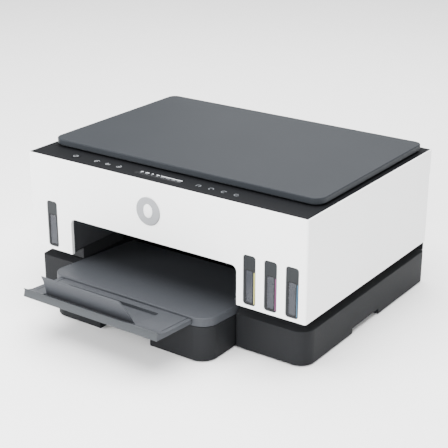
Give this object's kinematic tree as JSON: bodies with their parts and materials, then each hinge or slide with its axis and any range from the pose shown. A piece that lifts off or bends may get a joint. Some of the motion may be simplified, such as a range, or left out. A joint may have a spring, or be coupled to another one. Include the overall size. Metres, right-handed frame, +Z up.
{
  "type": "inkjet printer",
  "caption": "Desktop all-in-one inkjet printer: dark base with paper tray, white lifting housing with ink windows, flatbed scanner with hinged grey lid.",
  "frame": {"origin": "on the surface that the printer stands on, under the middle of the whole outline with the extension out and its flap open", "axes": "+X to the right of someone facing the printer, +Y from the front to the rear, +Z up"},
  "size_m": [0.435, 0.4484, 0.2106],
  "materials": {
    "charcoal_plastic": "fine spark-eroded texture",
    "black_plastic": "moulded, matte",
    "white_plastic": "smooth satin",
    "pad_foam": "closed foam faced with white film",
    "lid_grey": "fine satin texture",
    "tray_grey": "fine satin texture",
    "panel_gloss": "satin film over moulded panel",
    "display_glass": "gloss window",
    "badge_metal": "satin disc",
    "window_smoke": "smoked clear plastic",
    "tank_plastic": "translucent moulded tank",
    "steel": "plated sheet",
    "rubber": "matte",
    "nylon": "natural moulded nylon",
    "scan_glass": "float glass",
    "circuit_board": "solder mask",
    "printhead_plastic": "moulded",
    "latch_blue": "moulded, touch-point colour"
  },
  "bodies": {
    "base": {"base_tub": "charcoal_plastic", "foot_front_left": "rubber", "foot_front_right": "rubber", "foot_rear_left": "rubber", "foot_rear_right": "rubber", "chassis": "black_plastic", "rear_panel": "charcoal_plastic", "power_inlet": "black_plastic", "usb_port": "steel", "exit_duct": "black_plastic", "platen": "black_plastic", "carriage_rail": "steel", "carriage_motor": "steel", "timing_belt": "rubber", "service_station": "tray_grey", "power_supply": "black_plastic", "main_board": "circuit_board", "tank_black": "tank_plastic", "tank_yellow": "tank_plastic", "tank_magenta": "tank_plastic", "tank_cyan": "tank_plastic"},
    "rear_door": {"rear_access_door": "charcoal_plastic"},
    "wireless_button": {"wireless_button": "tray_grey"},
    "feed_roller": {"feed_roller": "rubber"},
    "transfer_gear": {"transfer_gear": "nylon"},
    "exit_roller": {"exit_roller": "rubber"},
    "pick_arm": {"pick_arm": "black_plastic"},
    "pick_roller": {"pick_roller": "rubber"},
    "drive_pulley": {"drive_pulley": "nylon"},
    "idler_pulley": {"idler_pulley": "nylon"},
    "carriage": {"carriage": "black_plastic", "printheads": "printhead_plastic"},
    "printhead_latch": {"printhead_latch": "latch_blue"},
    "cap_black": {"cap_black": "black_plastic"},
    "cap_yellow": {"cap_yellow": "black_plastic"},
    "cap_magenta": {"cap_magenta": "black_plastic"},
    "cap_cyan": {"cap_cyan": "black_plastic"},
    "top_unit": {"upper_shell": "white_plastic", "window_black": "window_smoke", "window_yellow": "window_smoke", "window_magenta": "window_smoke", "window_cyan": "window_smoke", "badge": "badge_metal", "scanner_bed": "black_plastic", "scanner_frame": "charcoal_plastic", "scanner_glass": "scan_glass", "control_panel": "panel_gloss", "display": "display_glass"},
    "scan_bar": {"scan_bar": "black_plastic"},
    "power_button": {"power_button": "panel_gloss"},
    "lid": {"scanner_lid": "lid_grey", "lid_pad": "pad_foam"},
    "input_tray": {"input_tray": "charcoal_plastic"},
    "width_guide_left": {"width_guide_left": "tray_grey"},
    "width_guide_right": {"width_guide_right": "tray_grey"},
    "length_guide": {"length_guide": "tray_grey"},
    "output_tray": {"output_tray": "tray_grey"},
    "tray_extension": {"tray_extension": "tray_grey"},
    "extension_flap": {"extension_flap": "tray_grey"}
  },
  "joints": [
    {"name": "top_unit_lift", "type": "hinge", "parent": "base", "child": "top_unit", "pos_m": [0, 0.2012, 0.195], "axis": [-1, 0, 0], "range_deg": [0, 38]},
    {"name": "lid_open", "type": "hinge", "parent": "top_unit", "child": "lid", "pos_m": [0, 0.2014, 0.204], "axis": [-1, 0, 0], "range_deg": [0, 85]},
    {"name": "scan_travel", "type": "slide", "parent": "top_unit", "child": "scan_bar", "axis": [1, 0, 0], "range_m": [0, 0.34]},
    {"name": "power_press", "type": "slide", "parent": "top_unit", "child": "power_button", "axis": [0, 0, -1], "range_m": [0, 0.0007], "stiffness_N_per_m": 600, "springref_m": -0.0006},
    {"name": "input_tray_pull", "type": "slide", "parent": "base", "child": "input_tray", "axis": [0, -1, 0], "range_m": [0, 0.15]},
    {"name": "output_tray_lift", "type": "hinge", "parent": "input_tray", "child": "output_tray", "pos_m": [0, 0.01441, 0.04279], "axis": [-1, 0, 0], "range_deg": [0, 12]},
    {"name": "extension_pull", "type": "slide", "parent": "output_tray", "child": "tray_extension", "axis": [0, -0.9976, 0.0698], "range_m": [-0.051, 0]},
    {"name": "flap_fold", "type": "hinge", "parent": "tray_extension", "child": "extension_flap", "pos_m": [0, -0.20794, 0.05995], "axis": [1, 0, 0], "range_deg": [-120, 0]},
    {"name": "width_guide_slide", "type": "slide", "parent": "input_tray", "child": "width_guide_left", "axis": [1, 0, 0], "range_m": [0, 0.05]},
    {"name": "width_guide_mirror", "type": "slide", "parent": "input_tray", "child": "width_guide_right", "axis": [1, 0, 0], "range_m": [-0.05, 0]},
    {"name": "length_guide_slide", "type": "slide", "parent": "input_tray", "child": "length_guide", "axis": [0, -1, 0], "range_m": [0, 0.09]},
    {"name": "carriage_travel", "type": "slide", "parent": "base", "child": "carriage", "axis": [-1, 0, 0], "range_m": [0, 0.29]},
    {"name": "drive_pulley_spin", "type": "hinge", "parent": "base", "child": "drive_pulley", "pos_m": [-0.188, 0.0927, 0.111], "axis": [0, 1, 0], "continuous": true},
    {"name": "idler_pulley_spin", "type": "hinge", "parent": "base", "child": "idler_pulley", "pos_m": [0.188, 0.0927, 0.111], "axis": [0, 1, 0], "continuous": true},
    {"name": "latch_open", "type": "hinge", "parent": "carriage", "child": "printhead_latch", "pos_m": [0.158, 0.0752, 0.112], "axis": [-1, 0, 0], "range_deg": [0, 70]},
    {"name": "feed_roller_spin", "type": "hinge", "parent": "base", "child": "feed_roller", "pos_m": [0, 0.0872, 0.068], "axis": [1, 0, 0], "continuous": true},
    {"name": "transfer_gear_spin", "type": "hinge", "parent": "base", "child": "transfer_gear", "pos_m": [-0.181, 0.0482, 0.068], "axis": [1, 0, 0], "continuous": true},
    {"name": "exit_roller_spin", "type": "hinge", "parent": "base", "child": "exit_roller", "pos_m": [0, 0.0152, 0.068], "axis": [1, 0, 0], "continuous": true},
    {"name": "pick_arm_swing", "type": "hinge", "parent": "base", "child": "pick_arm", "pos_m": [-0.02, 0.1232, 0.076], "axis": [1, 0, 0], "range_deg": [0, 12]},
    {"name": "pick_roller_spin", "type": "hinge", "parent": "pick_arm", "child": "pick_roller", "pos_m": [-0.02, 0.1532, 0.0495], "axis": [1, 0, 0], "continuous": true},
    {"name": "cap_black_open", "type": "hinge", "parent": "base", "child": "cap_black", "pos_m": [-0.1795, -0.0548, 0.142], "axis": [-1, 0, 0], "range_deg": [0, 80]},
    {"name": "cap_yellow_open", "type": "hinge", "parent": "base", "child": "cap_yellow", "pos_m": [0.138, -0.0548, 0.142], "axis": [-1, 0, 0], "range_deg": [0, 80]},
    {"name": "cap_magenta_open", "type": "hinge", "parent": "base", "child": "cap_magenta", "pos_m": [0.168, -0.0548, 0.142], "axis": [-1, 0, 0], "range_deg": [0, 80]},
    {"name": "cap_cyan_open", "type": "hinge", "parent": "base", "child": "cap_cyan", "pos_m": [0.198, -0.0548, 0.142], "axis": [-1, 0, 0], "range_deg": [0, 80]},
    {"name": "rear_door_open", "type": "hinge", "parent": "base", "child": "rear_door", "pos_m": [-0.01, 0.2222, 0.064], "axis": [-1, 0, 0], "range_deg": [0, 60]},
    {"name": "wireless_press", "type": "slide", "parent": "base", "child": "wireless_button", "axis": [0, -1, 0], "range_m": [0, 0.001], "stiffness_N_per_m": 500, "springref_m": -0.0005}
  ],
  "couplings": [
    {"joint": "width_guide_mirror", "follows": "width_guide_slide", "ratio": -1},
    {"joint": "drive_pulley_spin", "follows": "carriage_travel", "rad_per_m": 166.67},
    {"joint": "idler_pulley_spin", "follows": "carriage_travel", "rad_per_m": 166.67},
    {"joint": "transfer_gear_spin", "follows": "feed_roller_spin", "ratio": -0.69565},
    {"joint": "exit_roller_spin", "follows": "feed_roller_spin", "ratio": 1.6},
    {"joint": "pick_roller_spin", "follows": "feed_roller_spin", "ratio": -0.6}
  ]
}
